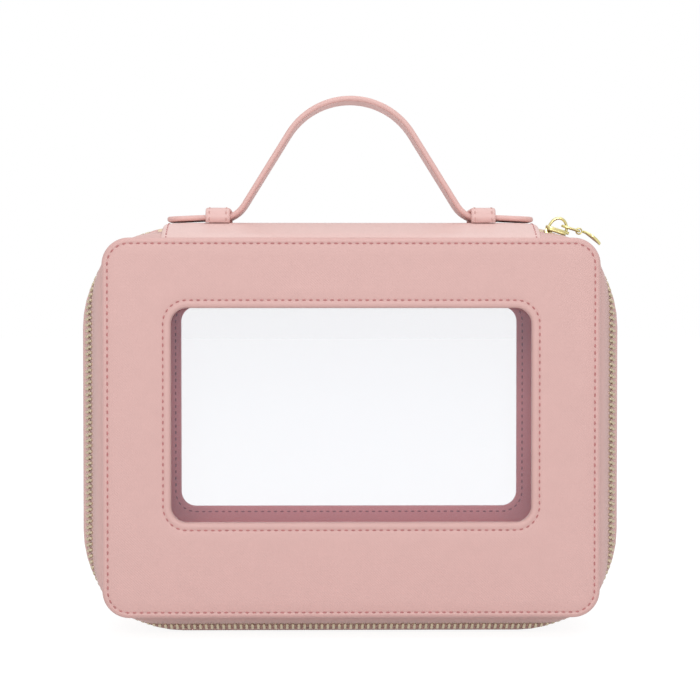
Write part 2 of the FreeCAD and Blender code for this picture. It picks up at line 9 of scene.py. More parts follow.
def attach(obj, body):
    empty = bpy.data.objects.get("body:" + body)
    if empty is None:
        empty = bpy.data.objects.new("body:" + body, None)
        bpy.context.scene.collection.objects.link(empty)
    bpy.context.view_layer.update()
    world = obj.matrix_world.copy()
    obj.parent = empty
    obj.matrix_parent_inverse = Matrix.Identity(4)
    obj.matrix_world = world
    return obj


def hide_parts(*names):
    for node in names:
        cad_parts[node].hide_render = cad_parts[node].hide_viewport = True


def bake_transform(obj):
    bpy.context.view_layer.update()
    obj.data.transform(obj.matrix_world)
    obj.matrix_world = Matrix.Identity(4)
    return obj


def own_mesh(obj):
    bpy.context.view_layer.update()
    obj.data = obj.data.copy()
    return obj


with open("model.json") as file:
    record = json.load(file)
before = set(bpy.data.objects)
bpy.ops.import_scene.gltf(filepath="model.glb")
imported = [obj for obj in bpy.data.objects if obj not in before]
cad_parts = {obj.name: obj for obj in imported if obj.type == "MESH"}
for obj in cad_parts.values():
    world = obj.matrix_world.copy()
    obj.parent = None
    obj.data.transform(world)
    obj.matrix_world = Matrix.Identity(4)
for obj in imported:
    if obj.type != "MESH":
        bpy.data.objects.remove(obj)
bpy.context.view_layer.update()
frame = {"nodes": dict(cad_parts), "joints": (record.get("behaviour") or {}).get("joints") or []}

MM = 0.001

# Sizes in millimetres, as in the solids
PANEL_WIDTH, PANEL_HEIGHT, PANEL_CORNER, PANEL_BASE = 220.0, 168.0, 12.0, 9.2
FACE_Y, SHELL_Y, BAND_Y, ZIP_Y = 40.0, 37.2, 16.0, -21.4
WINDOW_WIDTH, WINDOW_HEIGHT, WINDOW_CORNER, WINDOW_BASE = 159.0, 94.5, 7.0, 51.65
BAND_WIDTH, BAND_HEIGHT, BAND_CORNER = 241.6, 183.0, 46.0
GUSSET_INSET, LEATHER, TAPE = 1.0, 1.4, 0.8
TOP_HALF, TOP_THICK = 84.0, 1.4
STRAP_WIDTH, STRAP_THICK, STRAP_BASE, STRAP_END, STRAP_TIP = 26.0, 2.4, 184.8, 29.0, 7.0
KEEPER_X, KEEPER_LENGTH, KEEPER_FOOT, KEEPER_ROOM, KEEPER_WALL = 54.0, 11.0, 184.4, 2.0, 2.0
CROWN, RISE = 33.0, 54.5
TOOTH_PITCH, PARKED = 2.6, 14.3

# Sizes of the softer shapes and the stitches, which the solids don't have
ARCH_HALF, FOOT, TAIL_LIFT = 60.0, 14.0, 1.0
ZIP_GAP, TAPE_REACH = 4.2, 8.0
STITCH_PITCH = 3.1


# Materials
def linear(r, g, b):
    """A display colour, 0 to 255, as the linear values that the shader takes."""
    def one(c):
        c /= 255
        return c / 12.92 if c <= 0.04045 else ((c + 0.055) / 1.055) ** 2.4
    return (one(r), one(g), one(b), 1.0)


def new_material(name):
    material = bpy.data.materials.new(name)
    material.use_nodes = True
    tree = material.node_tree
    return material, tree, tree.nodes["Principled BSDF"]


def node(tree, kind, **settings):
    made = tree.nodes.new(kind)
    for key, value in settings.items():
        if key.startswith("in_"):
            made.inputs[key[3:].replace("_", " ")].default_value = value
        else:
            setattr(made, key, value)
    return made


def place_on(tree):
    return tree.nodes.new("ShaderNodeTexCoord").outputs["Object"]


def tint(tree, shader, place, colour, scale, spread):
    """Gives the shader's colour a slow, slight variation."""
    noise = node(tree, "ShaderNodeTexNoise", in_Scale=scale, in_Detail=4.0)
    tree.links.new(place, noise.inputs["Vector"])
    ramp = node(tree, "ShaderNodeValToRGB")
    ramp.color_ramp.elements[0].position = 0.3
    ramp.color_ramp.elements[1].position = 0.7
    ramp.color_ramp.elements[0].color = tuple(c * (1 - spread) for c in colour[:3]) + (1.0,)
    ramp.color_ramp.elements[1].color = tuple(min(1.0, c * (1 + spread)) for c in colour[:3]) + (1.0,)
    tree.links.new(noise.outputs["Fac"], ramp.inputs["Fac"])
    tree.links.new(ramp.outputs["Color"], shader.inputs["Base Color"])


def bands(tree, place, turn, pitch, waver):
    """Straight ridges across space, a pitch in millimetres apart, turned by three angles."""
    turned = node(tree, "ShaderNodeMapping")
    turned.inputs["Rotation"].default_value = turn
    tree.links.new(place, turned.inputs["Vector"])
    scale = 0.314 / (pitch * MM)
    wave = node(tree, "ShaderNodeTexWave", bands_direction="X", in_Scale=scale, in_Distortion=waver)
    wave.inputs["Detail Scale"].default_value = 2.0
    tree.links.new(turned.outputs["Vector"], wave.inputs["Vector"])
    return wave.outputs["Fac"]


def raise_by(tree, shader, height, distance, strength):
    bump = node(tree, "ShaderNodeBump", in_Strength=strength, in_Distance=distance)
    tree.links.new(height, bump.inputs["Height"])
    tree.links.new(bump.outputs["Normal"], shader.inputs["Normal"])


def combine(tree, operation, a, b):
    made = node(tree, "ShaderNodeMath", operation=operation)
    tree.links.new(a, made.inputs[0])
    tree.links.new(b, made.inputs[1])
    return made.outputs[0]


def leather_material(name, colour, rough=0.46, depth=0.55):
    """Cross-grained leather: two sets of fine slanting ridges over a soft pebble."""
    material, tree, shader = new_material(name)
    place = place_on(tree)
    tint(tree, shader, place, colour, 160.0, 0.014)
    slant = math.radians(45)
    one = bands(tree, place, (0.35, slant, 0.3), 0.85, 1.6)
    other = bands(tree, place, (0.35, -slant, -0.3), 0.85, 1.6)
    grain = combine(tree, "MAXIMUM", one, other)
    pebble = node(tree, "ShaderNodeTexNoise", in_Scale=900.0, in_Detail=3.0)
    tree.links.new(place, pebble.inputs["Vector"])
    raise_by(tree, shader, combine(tree, "ADD", grain, pebble.outputs["Fac"]), 0.00006, depth)
    shader.inputs["Roughness"].default_value = rough
    shader.inputs["Specular IOR Level"].default_value = 0.42
    return material


def thread_material(name, colour):
    material, tree, shader = new_material(name)
    place = place_on(tree)
    tint(tree, shader, place, colour, 300.0, 0.12)
    raise_by(tree, shader, bands(tree, place, (0.5, 0.6, 0.4), 0.25, 0.5), 0.00005, 0.5)
    shader.inputs["Roughness"].default_value = 0.55
    shader.inputs["Sheen Weight"].default_value = 0.05
    return material


def woven_material(name, colour, pitch):
    """Plain weave: two crossed sets of fine threads."""
    material, tree, shader = new_material(name)
    place = place_on(tree)
    tint(tree, shader, place, colour, 200.0, 0.08)
    weave = combine(
        tree, "MULTIPLY", bands(tree, place, (0, 0, math.radians(90)), pitch, 0.3),
        combine(tree, "MAXIMUM", bands(tree, place, (0, 0, 0), pitch, 0.3),
                bands(tree, place, (0, math.radians(90), 0), pitch, 0.3)),
    )
    raise_by(tree, shader, weave, 0.00012, 0.6)
    shader.inputs["Roughness"].default_value = 0.85
    shader.inputs["Sheen Weight"].default_value = 0.3
    return material


def metal_material(name, colour, rough):
    """Plated metal with a faint brushed unevenness."""
    material, tree, shader = new_material(name)
    place = place_on(tree)
    tint(tree, shader, place, colour, 350.0, 0.06)
    wear = node(tree, "ShaderNodeTexNoise", in_Scale=1500.0, in_Detail=2.0)
    tree.links.new(place, wear.inputs["Vector"])
    raise_by(tree, shader, wear.outputs["Fac"], 0.00002, 0.25)
    shader.inputs["Metallic"].default_value = 1.0
    shader.inputs["Roughness"].default_value = rough
    return material


def clear_material():
    """Clear soft sheet, with a faint cool tint and slight waves."""
    material, tree, shader = new_material("clear_sheet")
    place = place_on(tree)
    tint(tree, shader, place, linear(226, 233, 253), 12.0, 0.01)
    waves = node(tree, "ShaderNodeTexNoise", in_Scale=14.0, in_Detail=1.0)
    tree.links.new(place, waves.inputs["Vector"])
    raise_by(tree, shader, waves.outputs["Fac"], 0.0004, 0.3)
    shader.inputs["Roughness"].default_value = 0.06
    shader.inputs["Alpha"].default_value = 0.06
    return material


def card_material():
    material, tree, shader = new_material("card")
    place = place_on(tree)
    tint(tree, shader, place, linear(190, 176, 160), 400.0, 0.1)
    shader.inputs["Roughness"].default_value = 0.9
    return material


PINK = leather_material("leather_panel", linear(219, 177, 172), depth=0.9)
SIDE_PINK = leather_material("leather_side", linear(219, 180, 175), 0.5)
TOP_PINK = leather_material("leather_top", linear(233, 199, 194))
STRAP_PINK = leather_material("leather_strap", linear(227, 185, 179), depth=0.1)
KEEPER_PINK = leather_material("leather_keeper", linear(229, 191, 186), depth=0.3)
INSIDE = leather_material("leather_inside", linear(228, 144, 145), 0.6)
LINING = woven_material("lining_cloth", linear(190, 140, 140), 0.5)
TAPE_CLOTH = woven_material("zip_tape", linear(224, 184, 180), 0.6)
THREAD = thread_material("thread", linear(190, 120, 120))
INNER_THREAD = thread_material("inner_thread", linear(156, 74, 82))
PALE_THREAD = thread_material("pale_thread", linear(216, 172, 166))
TEETH = metal_material("zip_teeth", linear(198, 184, 160), 0.52)
GOLD = metal_material("gold_plate", linear(214, 203, 146), 0.18)
CLEAR = clear_material()
CARD = card_material()


# Mesh helpers
def new_piece(name, points, faces, material, smooth=True):
    mesh = bpy.data.meshes.new(name)
    mesh.from_pydata([tuple(c * MM for c in p) for p in points], [], faces)
    mesh.materials.append(material)
    mesh.validate()
    tidy = bmesh.new()
    tidy.from_mesh(mesh)
    bmesh.ops.recalc_face_normals(tidy, faces=tidy.faces)
    tidy.to_mesh(mesh)
    tidy.free()
    for polygon in mesh.polygons:
        polygon.use_smooth = smooth
    piece = bpy.data.objects.new(name, mesh)
    bpy.context.scene.collection.objects.link(piece)
    return piece


def join(pieces):
    """One object from several, keeping each one's material."""
    bpy.ops.object.select_all(action="DESELECT")
    for piece in pieces:
        piece.select_set(True)
    bpy.context.view_layer.objects.active = pieces[0]
    bpy.ops.object.join()
    return pieces[0]


def loop_faces(rings, closed=False, keep=None):
    """Quads between closed rings of points. keep says which quads stay, by their middle."""
    size = len(rings[0])
    points = [p for ring in rings for p in ring]
    faces = []
    spans = len(rings) if closed else len(rings) - 1
    for i in range(spans):
        for k in range(size):
            a, b = i * size + k, i * size + (k + 1) % size
            c, d = ((i + 1) % len(rings)) * size + (k + 1) % size, ((i + 1) % len(rings)) * size + k
            middle = sum((Vector(points[n]) for n in (a, b, c, d)), Vector()) / 4
            if keep is None or keep(middle):
                faces.append((a, b, c, d))
    return points, faces


def rounded_loop(width, height, corner, base, corner_steps=12, side_step=4.0):
    """Points and ways out round a rounded rectangle in x and z, as many whatever its size."""
    spots = []
    flat_x, flat_z = width / 2 - corner, height / 2 - corner
    middle = base + height / 2
    across = max(4, int(PANEL_WIDTH / side_step))
    up = max(4, int(PANEL_HEIGHT / side_step))
    for quarter, (sx, sz) in enumerate(((1, 1), (-1, 1), (-1, -1), (1, -1))):
        for k in range(corner_steps + 1):
            turn = math.radians(90 * quarter + 90 * k / corner_steps)
            out = (math.cos(turn), math.sin(turn))
            spots.append((sx * flat_x + corner * out[0], middle + sz * flat_z + corner * out[1], *out))
        count = across if quarter % 2 == 0 else up
        last = spots[-1]
        for k in range(1, count):
            share = k / count
            if quarter % 2 == 0:
                spots.append((last[0] * (1 - 2 * share), last[1], last[2], last[3]))
            else:
                way = 1 if quarter == 1 else -1
                spots.append((last[0], last[1] - 2 * flat_z * share * way, last[2], last[3]))
    return spots


def panel_loop(inset):
    corner = max(PANEL_CORNER - inset, 2.0)
    return rounded_loop(PANEL_WIDTH - 2 * inset, PANEL_HEIGHT - 2 * inset, corner, PANEL_BASE + inset)


def window_loop(grow):
    return rounded_loop(
        WINDOW_WIDTH + 2 * grow, WINDOW_HEIGHT + 2 * grow, WINDOW_CORNER + grow, WINDOW_BASE - grow)


def along(points, pitch, closed=True):
    """Points and directions at an even pitch along a line of points."""
    line = [Vector(p) for p in points]
    if closed:
        line.append(line[0])
    lengths = [0.0]
    for a, b in zip(line, line[1:]):
        lengths.append(lengths[-1] + (b - a).length)
    total = lengths[-1]
    count = max(1, round(total / pitch))
    spots, seg = [], 0
    for k in range(count):
        s = (k + 0.5) * total / count
        while seg < len(line) - 2 and lengths[seg + 1] < s:
            seg += 1
        span = line[seg + 1] - line[seg]
        share = (s - lengths[seg]) / max(span.length, 1e-9)
        spots.append((line[seg] + span * share, span.normalized()))
    return spots


def stitch_shape(length=1.95, wide=0.66, high=0.5, rings=5, sides=6):
    """One stitch lying along x: a short thread that dips into the leather at both ends."""
    points, faces = [], []
    for i in range(rings):
        u = -1 + 2 * i / (rings - 1)
        fat = max(0.18, math.sqrt(max(0.0, 1 - (0.93 * u) ** 2)))
        for k in range(sides):
            turn = 2 * math.pi * k / sides
            points.append(Vector((
                u * length / 2, math.cos(turn) * wide / 2 * fat,
                math.sin(turn) * high / 2 * fat + 0.16 - 0.34 * u * u,
            )))
    for i in range(rings - 1):
        for k in range(sides):
            faces.append((
                i * sides + k, i * sides + (k + 1) % sides,
                (i + 1) * sides + (k + 1) % sides, (i + 1) * sides + k,
            ))
    faces.append(tuple(range(sides)))
    faces.append(tuple((rings - 1) * sides + k for k in reversed(range(sides))))
    return points, faces


STITCH = stitch_shape()


def repeat_shape(name, shape, places, material):
    """Copies of a small shape, each set at a point with its x and z ways."""
    base_points, base_faces = shape
    points, faces = [], []
    for spot, forward, up in places:
        forward = forward.normalized()
        side = up.cross(forward).normalized()
        up = forward.cross(side)
        turn = Matrix((forward, side, up)).transposed()
        start = len(points)
        points.extend(spot + turn @ p for p in base_points)
        faces.extend(tuple(start + n for n in face) for face in base_faces)
    return new_piece(name, points, faces, material)


def seam(name, line, up, closed=True, thread=None):
    """A row of stitches along a line. up is one direction, or a function of the point."""
    places = []
    for spot, forward in along(line, STITCH_PITCH, closed):
        places.append((spot, forward, up(spot) if callable(up) else Vector(up)))
    return repeat_shape(name, STITCH, places, thread or THREAD)


# Stiff panels
def panel(side, facing, body):
    """Leather skin with a turned edge, two seams and a soft lip round the window."""
    def ring(spots, depth):
        return [(x, facing * (FACE_Y - depth), z) for x, z, _, _ in spots]

    edge_seam, window_seam, seam_depth = 2.6, 3.5, 0.28
    rounding = [(0, 2.8), (0, 2.2), (0.14, 1.5), (0.45, 0.85), (0.95, 0.32), (1.45, 0.06), (1.85, 0.04)]
    groove = [(2.25, 0.2), (edge_seam, 0.38), (3.0, 0.16), (3.6, 0.0), (8.0, 0.0), (16.0, 0.0)]
    window_groove = [(9.0, 0.0), (4.7, 0.0), (3.95, 0.14), (window_seam, 0.36), (3.05, 0.12)]
    lip = [(2.5, -0.1), (1.7, -0.14), (1.0, 0.0), (0.5, 0.3), (0.15, 0.75), (0.0, 1.3), (0.0, 2.8)]
    rings = [ring(panel_loop(inset), depth) for inset, depth in rounding + groove]
    rings += [ring(window_loop(grow), depth) for grow, depth in window_groove + lip]
    skin = new_piece(f"{side}_panel", *loop_faces(rings, closed=True), PINK)
    out = (0, facing, 0)
    seams = [
        seam(f"{side}_edge_seam", ring(panel_loop(edge_seam), seam_depth), out),
        seam(f"{side}_window_seam", ring(window_loop(window_seam), seam_depth), out),
    ]
    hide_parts(f"{side}_panel_skin")
    stitches = join(seams)
    for piece in (skin, stitches):
        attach(piece, body)


def panel_lining(side, facing, body):
    """Inner face of a panel, with the window's seam showing through."""
    inner = 3.3

    def ring(spots, depth):
        return [(x, facing * (FACE_Y - depth), z) for x, z, _, _ in spots]

    wall = GUSSET_INSET + LEATHER + TAPE + 0.3
    outer = [(0.0, 0.0), (0.0, 0.5), (0.3, 0.6)]
    opening = [(4.0, 0.6), (3.0, 0.72), (2.0, 0.6), (0.4, 0.58), (0.0, 0.3), (0.0, 0.0)]
    rings = [ring(panel_loop(wall + inset), inner + depth) for inset, depth in outer]
    rings += [ring(window_loop(grow), inner + depth) for grow, depth in opening]
    sheet = new_piece(f"{side}_inside", *loop_faces(rings, closed=True), INSIDE)
    line = ring(window_loop(2.6), inner + 0.66)
    stitches = seam(f"{side}_inside_seam", line, (0, -facing, 0), thread=INNER_THREAD)
    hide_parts(f"{side}_lining")
    for piece in (sheet, stitches):
        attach(piece, body)


# Soft sides
def share_at(y):
    """How far the sides have bulged at that y: 0 at the panels, 1 in the middle, with an eased shoulder."""
    u = (SHELL_Y - abs(y)) / (SHELL_Y - BAND_Y)
    if u < 0.8:
        return max(0.0, u)
    if u < 1.2:
        return 1 - (1.2 - u) ** 2 / 0.8
    return 1.0


def side_sizes(y, depth):
    """Width, height, corner and base of the sides at that y, so far below the leather's face."""
    share = share_at(y)

    def between(edge, band):
        return edge + share * (band - edge)

    return (
        between(PANEL_WIDTH - 2 * GUSSET_INSET, BAND_WIDTH) - 2 * depth,
        between(PANEL_HEIGHT - 2 * GUSSET_INSET, BAND_HEIGHT) - 2 * depth,
        between(PANEL_CORNER - GUSSET_INSET, BAND_CORNER) - depth,
        between(PANEL_BASE + GUSSET_INSET, 0.0) + depth,
    )


def side_ring(y, depth):
    return [(x, y, z) for x, z, _, _ in rounded_loop(*side_sizes(y, depth))]


def steps(start, end, count):
    return [start + (end - start) * k / count for k in range(count + 1)]


def side_band(name, profile, material, keep=None):
    """A band round the case, from a closed profile of y and depth."""
    rings = [side_ring(y, depth) for y, depth in profile]
    return new_piece(name, *loop_faces(rings, closed=True, keep=keep), material)


def outward(point):
    """Roughly the way out of the sides at a point, in the plane of the zip."""
    width, height, corner, base = side_sizes(point.y, 0.0)
    flat_x, flat_z, middle = width / 2 - corner, height / 2 - corner, base + height / 2
    x = max(-flat_x, min(flat_x, point.x))
    z = max(-flat_z, min(flat_z, point.z - middle))
    return Vector((point.x - x, 0, point.z - middle - z)).normalized()


def soft_sides():
    body_edge, lid_edge = ZIP_Y + ZIP_GAP, ZIP_Y - ZIP_GAP
    body = [(body_edge, LEATHER), (body_edge, 0.8), (body_edge + 0.25, 0.3), (body_edge + 0.8, 0.0)]
    body += [(y, 0.0) for y in steps(body_edge + 2, SHELL_Y, 26)]
    body += [(y, LEATHER) for y in steps(SHELL_Y, body_edge + 2, 12)]
    gusset = side_band("case_side", body, SIDE_PINK)
    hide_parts("body_gusset")

    lid = [(-SHELL_Y, LEATHER), (-SHELL_Y, 0.0), (lid_edge - 4, 0.0), (lid_edge - 0.8, 0.0)]
    lid += [(lid_edge - 0.25, 0.3), (lid_edge, 0.8), (lid_edge, LEATHER)]
    rim = side_band("lid_side", lid, SIDE_PINK)
    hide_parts("lid_gusset")

    inner, deep = LEATHER, LEATHER + TAPE
    half = [(0.2, 0.9), (3.6, 0.7), (4.4, inner), (TAPE_REACH, inner)]
    half += [(TAPE_REACH, deep), (4.4, deep), (3.6, 1.5), (0.2, 1.7)]
    body_tape = side_band("case_zip_tape", [(ZIP_Y + y, d) for y, d in half], TAPE_CLOTH)
    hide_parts("body_zip_tape")
    lid_tape = side_band(
        "lid_zip_tape_cloth", [(ZIP_Y - y, d) for y, d in half], TAPE_CLOTH,
        keep=lambda m: m.z < PANEL_HEIGHT / 2 or m.x < -TOP_HALF or m.x > TOP_HALF + PARKED,
    )
    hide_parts("lid_zip_tape")

    tape_edge, lining_end = ZIP_Y + TAPE_REACH, 35.2
    inside = [(y, inner + 0.05) for y in steps(tape_edge, lining_end, 14)]
    inside += [(y, deep) for y in steps(lining_end, tape_edge, 14)]
    lining = side_band("case_side_lining", inside, LINING)
    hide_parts("body_gusset_lining")

    for piece, owner, slot in (
        (gusset, "case", "leather"), (rim, "lid", "leather"), (body_tape, "case", "tape"),
        (lid_tape, "lid", "tape"), (lining, "case", "lining"),
    ):
        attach(piece, owner)


# Zip teeth
def tooth_shape():
    """A tooth lying across the zip along y: a rounded block with a domed head."""
    shape = bmesh.new()
    bmesh.ops.create_cube(shape, size=1.0)
    bmesh.ops.scale(shape, vec=(1.2, 3.1, 2.2), verts=shape.verts)
    bmesh.ops.bevel(shape, geom=shape.edges[:], offset=0.28, segments=2, affect="EDGES", profile=0.6)
    points = [v.co.copy() for v in shape.verts]
    faces = [tuple(v.index for v in f.verts) for f in shape.faces]
    shape.free()
    return points, faces


def zip_line(y):
    """The zip's line at that y, from the left end of the top panel round to the right end."""
    width, height, corner, base = side_sizes(y, 1.0)
    ring = [Vector((x, y, z)) for x, z, _, _ in rounded_loop(width, height, corner, base, corner_steps=24)]
    top = base + height
    kept = [p for p in ring if not (p.z > top - corner and abs(p.x) < TOP_HALF)]
    first = min(range(len(kept)), key=lambda k: (kept[k].z < top - corner, kept[k].x > 0, -kept[k].x))
    return kept[first:] + kept[:first]


def zip_teeth():
    shape = tooth_shape()
    for side, owner, cad in ((-1, "lid", "lid_zip_teeth"), (1, "case", "body_zip_teeth")):
        line = zip_line(ZIP_Y + side * 1.35)
        far = zip_line(ZIP_Y + side * 2.35)
        spots = along(line, TOOTH_PITCH / 2, closed=False)
        wanted = spots[4:-int(PARKED / (TOOTH_PITCH / 2))]
        places = []
        for spot, forward in wanted[(0 if side < 0 else 1)::2]:
            near = min(far, key=lambda p: (p - spot).length_squared)
            slope = side * (near - spot)
            slope -= forward * slope.dot(forward)
            up = slope.cross(forward)
            if up.dot(outward(spot)) < 0:
                up.negate()
            places.append((spot, forward, up))
        teeth = repeat_shape(f"{owner}_teeth", shape, places, TEETH)
        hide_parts(cad)
        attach(teeth, owner)


# Top panel, with close rows along the zip line, where the real panel folds when the lid opens; it is not
# made to fold here
def top_z(x, y, depth):
    width, height, corner, base = side_sizes(y, depth)
    past = max(0.0, abs(x) - (width / 2 - corner))
    return base + height - corner + math.sqrt(max(0.0, corner**2 - past**2))


def top_panel():
    end = [TOP_HALF - inset for inset in (0.0, 0.15, 0.45, 1.0, 2.2)]
    xs = [-x for x in end] + steps(-TOP_HALF + 4, TOP_HALF - 4, 40) + end[::-1]
    fold = steps(ZIP_Y - 2, ZIP_Y + 2, 10)
    ys = [-SHELL_Y, -SHELL_Y + 0.4, -SHELL_Y + 1, -SHELL_Y + 4] + steps(-SHELL_Y + 6, ZIP_Y - 3, 3) + fold
    ys += steps(ZIP_Y + 3, SHELL_Y - 1.2, 26) + [SHELL_Y - 0.4, SHELL_Y]

    def cover(x, y):
        """The leather's upper face, turned down along its two ends."""
        rim = min(1.0, (TOP_HALF - abs(x)) / 1.0)
        tuck = min(1.0, (SHELL_Y - abs(y)) / 5.0)
        return top_z(x, y, -TOP_THICK + 0.7 * (1 - rim) ** 2 + 1.1 * (1 - tuck) ** 2)

    points = [(x, y, cover(x, y)) for y in ys for x in xs]
    points += [(x, y, min(top_z(x, y, -0.02), cover(x, y) - 0.1)) for y in ys for x in xs]
    wide, layer = len(xs), len(xs) * len(ys)
    faces = []
    for j in range(len(ys) - 1):
        for i in range(wide - 1):
            a = j * wide + i
            faces.append((a, a + 1, a + wide + 1, a + wide))
            faces.append((layer + a, layer + a + wide, layer + a + wide + 1, layer + a + 1))
        for i in (0, wide - 1):
            a = j * wide + i
            faces.append((a, a + wide, layer + a + wide, layer + a))
    for j in (0, len(ys) - 1):
        for i in range(wide - 1):
            a = j * wide + i
            faces.append((a, a + 1, layer + a + 1, layer + a))
    pieces = [new_piece("top_leather", points, faces, TOP_PINK)]
    for x in (-TOP_HALF + 2.2, TOP_HALF - 2.2):
        line = [(x, y, cover(x, y)) for y in ys]
        pieces.append(seam("top_end_seam", line, outward, closed=False))
    sheet = join(pieces)
    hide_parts("top_panel", "top_fold_flap")
    hinge_z = top_z(0, ZIP_Y, -TOP_THICK)
    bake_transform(sheet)


# Handle
def strap_section():
    """The strap's section in width and height: rounded edges, which are painted on the real strap but take
    the strap's one material here, and a slightly full top.
    """
    half, thick = STRAP_WIDTH / 2, STRAP_THICK
    edge = [(half - 1.0, thick), (half - 0.35, thick - 0.3), (half, thick - 0.95), (half, 0.95),
            (half - 0.35, 0.3), (half - 1.0, 0.0)]
    top = [(half * u, thick + 0.12 * (1 - u * u) - (0.12 if 0.74 < abs(u) < 0.84 else 0)) for u in
           (-0.88, -0.84, -0.79, -0.74, -0.5, 0, 0.5, 0.74, 0.79, 0.84, 0.88)]
    base = [(half * u, 0.0) for u in (0.88, 0.5, 0, -0.5, -0.88)]
    return top + edge + base + [(-y, z) for y, z in reversed(edge)]


def strap_piece(name, line, tip=None):
    """The strap along a line of points and tilts in x and z. tip narrows and thins it towards its end."""
    section = strap_section()
    core = STRAP_THICK / 2
    rings = []
    for x, z, tilt in line:
        narrow, thin = tip(x) if tip else (1.0, 1.0)
        up = (-math.sin(tilt), math.cos(tilt))
        heights = [(w * narrow, core + (h - core) * thin) for w, h in section]
        rings.append([(x + up[0] * h, w, z + up[1] * h) for w, h in heights])
    points, faces = loop_faces(rings)
    size = len(section)
    faces.append(tuple(range(size)))
    faces.append(tuple(len(points) - size + k for k in reversed(range(size))))
    return new_piece(name, points, faces, STRAP_PINK)


def strap_tip(x):
    """How narrow and how thin the strap is at that x, near its rounded end."""
    half, far = STRAP_WIDTH / 2, KEEPER_X + STRAP_END
    past = max(0.0, abs(x) - (far - STRAP_TIP))
    narrow = (half - STRAP_TIP + math.sqrt(max(0.01, STRAP_TIP**2 - past * past))) / half
    nose = max(0.0, 1 - (far - abs(x)) / (STRAP_THICK / 2))
    return narrow, math.sqrt(max(0.02, 1 - nose * nose))


def handle_line():
    """Points along the underside of the handle's arch, with the tilt of the strap at each."""
    half, both = ARCH_HALF, CROWN + FOOT
    flank = math.sqrt(half**2 + (both - RISE) ** 2 - both**2)
    sine = (both * half - flank * (both - RISE)) / (both**2 + flank**2)
    cosine = (flank * half + both * (both - RISE)) / (both**2 + flank**2)
    turn = math.atan2(sine, cosine)
    low = STRAP_THICK / 2
    seat = STRAP_BASE + low
    left = []
    for tilt in steps(0.0, turn, 12):
        reach = FOOT + low
        left.append((-half + reach * math.sin(tilt), seat + FOOT - reach * math.cos(tilt), tilt))
    for tilt in steps(turn, 0.0, 14):
        reach = CROWN - low
        left.append((-reach * math.sin(tilt), seat + RISE - CROWN + reach * math.cos(tilt), tilt))
    right = [(-x, z, -tilt) for x, z, tilt in reversed(left[:-1])]
    return left + right


def handle():
    line = handle_line()
    arch = strap_piece("handle_strap", line)
    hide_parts("handle_arch")
    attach(arch, "handle")
    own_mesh(arch)

    for side, way in (("left", -1), ("right", 1)):
        far = KEEPER_X + STRAP_END
        turn = far - STRAP_TIP
        ends = steps(ARCH_HALF, turn, 12)
        ends += [turn + STRAP_TIP * math.sin(math.radians(a)) for a in range(10, 91, 10)]
        slope = TAIL_LIFT / (far - ARCH_HALF)
        run = [(way * x, STRAP_BASE + slope * (far - x), -way * slope) for x in ends]
        end = strap_piece(f"strap_tail_{side}", run, strap_tip)
        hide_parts(f"strap_end_{side}")
        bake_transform(end)
        keeper(side, way)


def keeper(side, way):
    """A leather loop over the strap, with a seam across each edge."""
    wall, bend = KEEPER_WALL, 2.2
    inside, top = STRAP_WIDTH / 2 + KEEPER_ROOM, STRAP_BASE + STRAP_THICK + KEEPER_ROOM
    arc = [(inside - bend + bend * math.sin(math.radians(a)), top - bend + bend * math.cos(math.radians(a)),
            math.radians(a)) for a in range(0, 91, 15)]
    right = [(0.0, top, 0.0), (inside * 0.5, top, 0.0)] + arc + [(inside, KEEPER_FOOT, math.radians(90))]
    path = [(-w, z, -t) for w, z, t in reversed(right[1:])] + right
    x0, x1 = KEEPER_X + 0.3, KEEPER_X + 0.3 + KEEPER_LENGTH
    half = [(0.0, 0.0), (0.0, wall - 0.9), (0.25, wall - 0.3), (0.8, wall), (1.7, wall - 0.1), (2.6, wall)]
    section = [(x0 + x, h) for x, h in half] + [(x1 - x, h) for x, h in reversed(half)]
    rings = [[(way * x, w + math.sin(t) * h, z + math.cos(t) * h) for x, h in section] for w, z, t in path]
    points, faces = loop_faces(rings)
    size = len(section)
    faces.append(tuple(range(size)))
    faces.append(tuple(len(points) - size + k for k in reversed(range(size))))
    loop = new_piece(f"keeper_{side}_loop", points, faces, KEEPER_PINK)

    def up(spot):
        return Vector((0, spot.y / 40, 1))

    seams = []
    rest = wall - 0.06
    for x in (x0 + 1.7, x1 - 1.7):
        line = [(way * x, w + math.sin(t) * rest, z + math.cos(t) * rest) for w, z, t in path]
        seams.append(seam(f"keeper_{side}_seam", line, up, closed=False, thread=PALE_THREAD))
    whole = join([loop] + seams)
    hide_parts(f"keeper_{side}")
    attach(whole, "case")


# Zip slider and pull, in the slider's own directions
def slider_frame():
    """Where the slider's middle is and which way it lies, from the points its link and tab turn about."""
    joints = {j["name"]: j for j in frame["joints"]}
    link, tab = (Vector(joints[n]["pos_m"]) / MM for n in ("link_swing", "tab_swing"))
    across = Vector(joints["link_swing"]["axis"]).normalized()
    forward = (tab - link).normalized()
    up = forward.cross(across)
    turn = Matrix((forward, across, up)).transposed()
    return turn, link, tab


def set_at(piece, spot, turn):
    """Moves a piece made about the origin to its place, in its own points."""
    piece.data.transform(Matrix.Translation(spot * MM) @ turn.to_4x4())
    return piece


def plate(name, outline, low, high, bevel, material):
    """A flat piece from an outline in x and y, with rounded edges."""
    shape = bmesh.new()
    face = shape.faces.new([shape.verts.new((x, y, low)) for x, y in outline])
    made = bmesh.ops.extrude_face_region(shape, geom=[face])
    for item in made["geom"]:
        if isinstance(item, bmesh.types.BMVert):
            item.co.z = high
    level = [e for e in shape.edges if abs(e.verts[0].co.z - e.verts[1].co.z) < 1e-6]
    bmesh.ops.bevel(shape, geom=level, offset=bevel, segments=3, affect="EDGES", profile=0.5)
    shape.verts.index_update()
    points = [tuple(v.co) for v in shape.verts]
    faces = [tuple(v.index for v in f.verts) for f in shape.faces]
    shape.free()
    return new_piece(name, points, faces, material)


